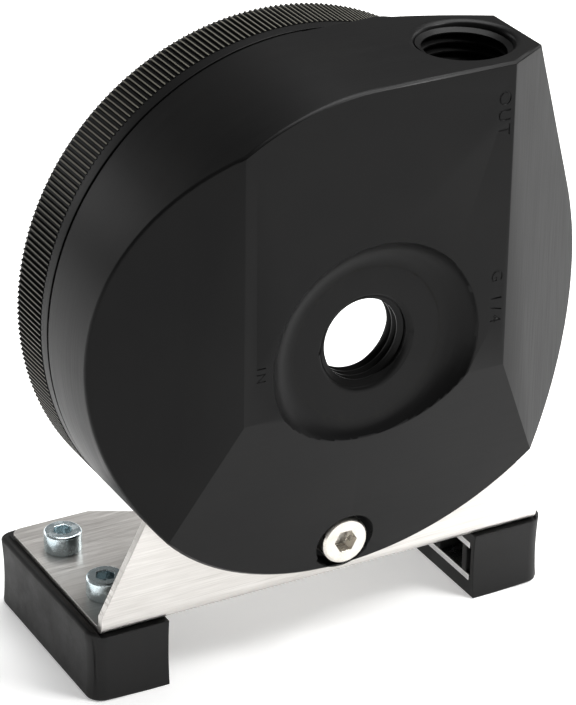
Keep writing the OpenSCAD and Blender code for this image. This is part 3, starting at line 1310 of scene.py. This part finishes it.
@dataclass
class Screws:
    """The cap screws, with eased heads and threaded shanks."""

    finishes: Finishes
    edge: float = 0.10 * MM
    socket_edge: float = 0.12 * MM
    socket_reach: float = 2.05 * MM
    core_share: float = 0.41

    def build_one(
        self,
        node: str,
        diameter: float,
        pitch: float,
        outwards: Vector,
        finish: bpy.types.Material,
        slot: str,
    ) -> bpy.types.Object:
        """Build one screw.

        Args:
            node: Its CAD node.
            diameter: Nominal diameter of its thread.
            pitch: Pitch of its thread.
            outwards: Direction from its tip to its head.
            finish: Its material.
            slot: The record's material slot.

        Returns:
            The finished piece.
        """
        shape = node_copy(node)
        low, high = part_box(node)
        centre = (low + high) / 2
        turn = Vector((0, 0, 1)).rotation_difference(outwards).to_matrix().to_4x4()
        place = Matrix.Translation(centre) @ turn
        back = place.inverted()
        half = max(high - low) / 2
        core = diameter * self.core_share
        head_start = half - diameter
        for vertex in shape.verts:
            local = back @ vertex.co
            radius = math.hypot(local.x, local.y)
            if local.z < head_start - 10 * SAME and radius > core:
                share = core / radius
                vertex.co = place @ Vector((local.x * share, local.y * share, local.z))
        ease_edges(shape, self.edge, lambda e: self.outer(e, back), segments=3, angle_deg=24)
        ease_edges(shape, self.socket_edge, lambda e: not self.outer(e, back), angle_deg=40)
        ridge_height = diameter / 2 - core
        turns = (2 * half - diameter) / pitch - 0.6
        thread = Thread(
            f"{node}_thread", core, pitch, turns, ridge_height, side=Side.OUTWARD, steps=40
        )
        foot = Matrix.Translation((0, 0, -half + 0.3 * pitch))
        join_in(shape, thread.mesh(finish), place @ foot)
        piece = make_piece(f"{node}_cap", shape, [finish])
        return settle(piece, HOUSING, slot, node)

    def outer(self, edge: bmesh.types.BMEdge, back: Matrix) -> bool:
        """Whether an edge lies on the outside of the head rather than in its socket."""
        middle = back @ ((edge.verts[0].co + edge.verts[1].co) / 2)
        return math.hypot(middle.x, middle.y) > self.socket_reach

    def build(self) -> None:
        """Build all five screws."""
        self.build_one(
            "bracket_screw",
            4 * MM,
            0.7 * MM,
            Vector((0, -1, 0)),
            self.finishes.stainless,
            "stainless_screw",
        )
        for side in ("left", "right"):
            for row in ("front", "rear"):
                self.build_one(
                    f"foot_screw_{side}_{row}",
                    3 * MM,
                    0.5 * MM,
                    Vector((0, 0, 1)),
                    self.finishes.zinc,
                    "zinc_screw",
                )


@dataclass
class Feet:
    """The two moulded rubber feet and the steel strips inside them."""

    finishes: Finishes
    waist: float = 0.28 * MM
    skin: float = 0.9 * MM
    levels: int = 9
    lip_round: float = 0.55 * MM
    lip_wall: float = 1.55 * MM
    lip_height: float = 0.6 * MM
    rear_lip: float = 0.15
    corner_x: float = 3 * MM
    corner_y: float = 2.6 * MM
    edge: float = 0.14 * MM
    strip_edge: float = 0.08 * MM

    def foot(self, side: str, sign: int) -> None:
        """Build one foot.

        Args:
            side: "left" or "right".
            sign: -1 for the left foot, 1 for the right one.
        """
        node = f"foot_{side}"
        shape = node_copy(node)
        low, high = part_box(node)
        seat = high.z - self.lip_height
        outer = max(abs(low.x), abs(high.x))

        def on_rim(edge: bmesh.types.BMEdge) -> bool:
            """Whether an edge runs round the top or bottom of the outer faces."""
            spots = [v.co for v in edge.verts]
            level = any(all(abs(p.z - end.z) < SAME for p in spots) for end in (low, high))
            return level and all(
                abs(p.x) > outer - SAME
                or abs(p.x) > outer - self.corner_x
                and min(p.y - low.y, high.y - p.y) < self.corner_y
                for p in spots
            )

        ease_edges(shape, self.lip_round, chosen=on_rim, segments=4, angle_deg=60)
        ease_edges(shape, self.edge, angle_deg=50)
        for level in range(1, self.levels):
            height = low.z + (seat - low.z) * level / self.levels
            geometry = [*shape.verts, *shape.edges, *shape.faces]
            bmesh.ops.bisect_plane(
                shape, geom=geometry, plane_co=(0, 0, height), plane_no=(0, 0, 1), dist=1e-7
            )
        middle, half = (low.z + seat) / 2, (seat - low.z) / 2
        for vertex in shape.verts:
            share = max(0.0, 1 - ((vertex.co.z - middle) / half) ** 2) * self.waist
            if outer - abs(vertex.co.x) < self.skin:
                vertex.co.x -= sign * share
            if vertex.co.y - low.y < self.skin:
                vertex.co.y += share
            if high.y - vertex.co.y < self.skin:
                vertex.co.y -= share
            if vertex.co.z > seat and high.y - vertex.co.y < self.lip_wall:
                vertex.co.z = seat + (vertex.co.z - seat) * self.rear_lip
        piece = make_piece(f"{node}_moulded", shape, [self.finishes.foot], smooth_deg=50)
        settle(piece, HOUSING, "foot_rubber", node)

    def strip(self, node: str) -> None:
        """Build one steel strip with eased edges."""
        shape = node_copy(node)
        ease_edges(shape, self.strip_edge, angle_deg=50)
        piece = make_piece(f"{node}_eased", shape, [self.finishes.strip])
        settle(piece, HOUSING, "strip_steel", node)

    def build(self) -> None:
        """Build both feet and the four strips."""
        for side, sign in (("left", -1), ("right", 1)):
            self.foot(side, sign)
            for level in ("upper", "lower"):
                self.strip(f"{level}_strip_{side}")


# ---------------------------------------------------------------- studio


@dataclass(frozen=True)
class SoftBox:
    """A rectangular studio light."""

    name: str
    place: Vector
    aim: Vector
    width: float
    height: float
    power: float

    def build(self) -> None:
        """Place the light."""
        light = bpy.data.lights.new(self.name, "AREA")
        light.shape = "RECTANGLE"
        light.size = self.width
        light.size_y = self.height
        light.energy = self.power
        lamp = bpy.data.objects.new(self.name, light)
        lamp.location = self.place
        lamp.rotation_euler = (self.aim - self.place).to_track_quat("-Z", "Y").to_euler()
        bpy.context.scene.collection.objects.link(lamp)


@dataclass
class Studio:
    """Floor, lights and camera."""

    camera_place: Vector = field(default_factory=lambda: Vector((-0.19280, -0.34981, 0.24689)))
    camera_aim: Vector = field(default_factory=lambda: Vector((-0.01052, -0.01700, 0.05231)))
    camera_roll_deg: float = 0.7155
    focal_length_mm: float = 163.2
    floor_size: float = 6.0
    world_strength: float = 0.20

    def floor(self) -> None:
        """Lay the floor."""
        shape = bmesh.new()
        bmesh.ops.create_grid(shape, x_segments=8, y_segments=8, size=self.floor_size / 2)
        mesh = bpy.data.meshes.new("floor")
        shape.to_mesh(mesh)
        shape.free()
        mesh.materials.append(FloorPaper("floor_paper").make())
        floor = bpy.data.objects.new("floor", mesh)
        bpy.context.scene.collection.objects.link(floor)

    def camera(self) -> None:
        """Set the camera up."""
        camera = bpy.data.cameras.new("camera")
        camera.lens = self.focal_length_mm
        camera.sensor_width = 36
        camera.clip_start = 0.01
        holder = bpy.data.objects.new("camera", camera)
        holder.location = self.camera_place
        turn = (self.camera_aim - self.camera_place).to_track_quat("-Z", "Y")
        roll = Quaternion((0, 0, 1), math.radians(self.camera_roll_deg))
        holder.rotation_euler = (turn @ roll).to_euler()
        bpy.context.scene.collection.objects.link(holder)
        bpy.context.scene.camera = holder

    def lights(self) -> None:
        """Hang the lights."""
        centre = Vector((0, 0, 0.05))
        boxes = (
            SoftBox("key_light", Vector((0.42, -0.42, 0.78)), centre, 0.26, 0.26, 6.5),
            SoftBox("top_light", Vector((0.25, 0.16, 0.85)), centre, 0.8, 0.6, 9.5),
            SoftBox("right_light", Vector((0.85, 0.05, 0.45)), centre, 0.6, 0.6, 3.0),
            SoftBox("back_light", Vector((-0.45, 1.00, 0.25)), centre, 0.6, 0.3, 1.2),
        )
        for box in boxes:
            box.build()
        world = bpy.data.worlds.new("studio")
        world.use_nodes = True
        background = world.node_tree.nodes["Background"]
        background.inputs["Color"].default_value = (1.0, 0.995, 0.985, 1)
        background.inputs["Strength"].default_value = self.world_strength
        bpy.context.scene.world = world
        bpy.context.scene.view_settings.view_transform = "Standard"

    def build(self) -> None:
        """Set up the whole studio."""
        self.floor()
        self.lights()
        self.camera()


def main() -> None:
    """Build the object and its studio."""
    logging.basicConfig(level=logging.INFO, format="%(name)s: %(message)s")
    Studio().build()
    finishes = Finishes()
    PumpTop(finishes).build()
    ClampRing(finishes).build()
    SlipRing(finishes).build()
    SealRing(finishes).build()
    Bracket(finishes).build()
    Screws(finishes).build()
    Feet(finishes).build()


if __name__ == "__main__":
    main()
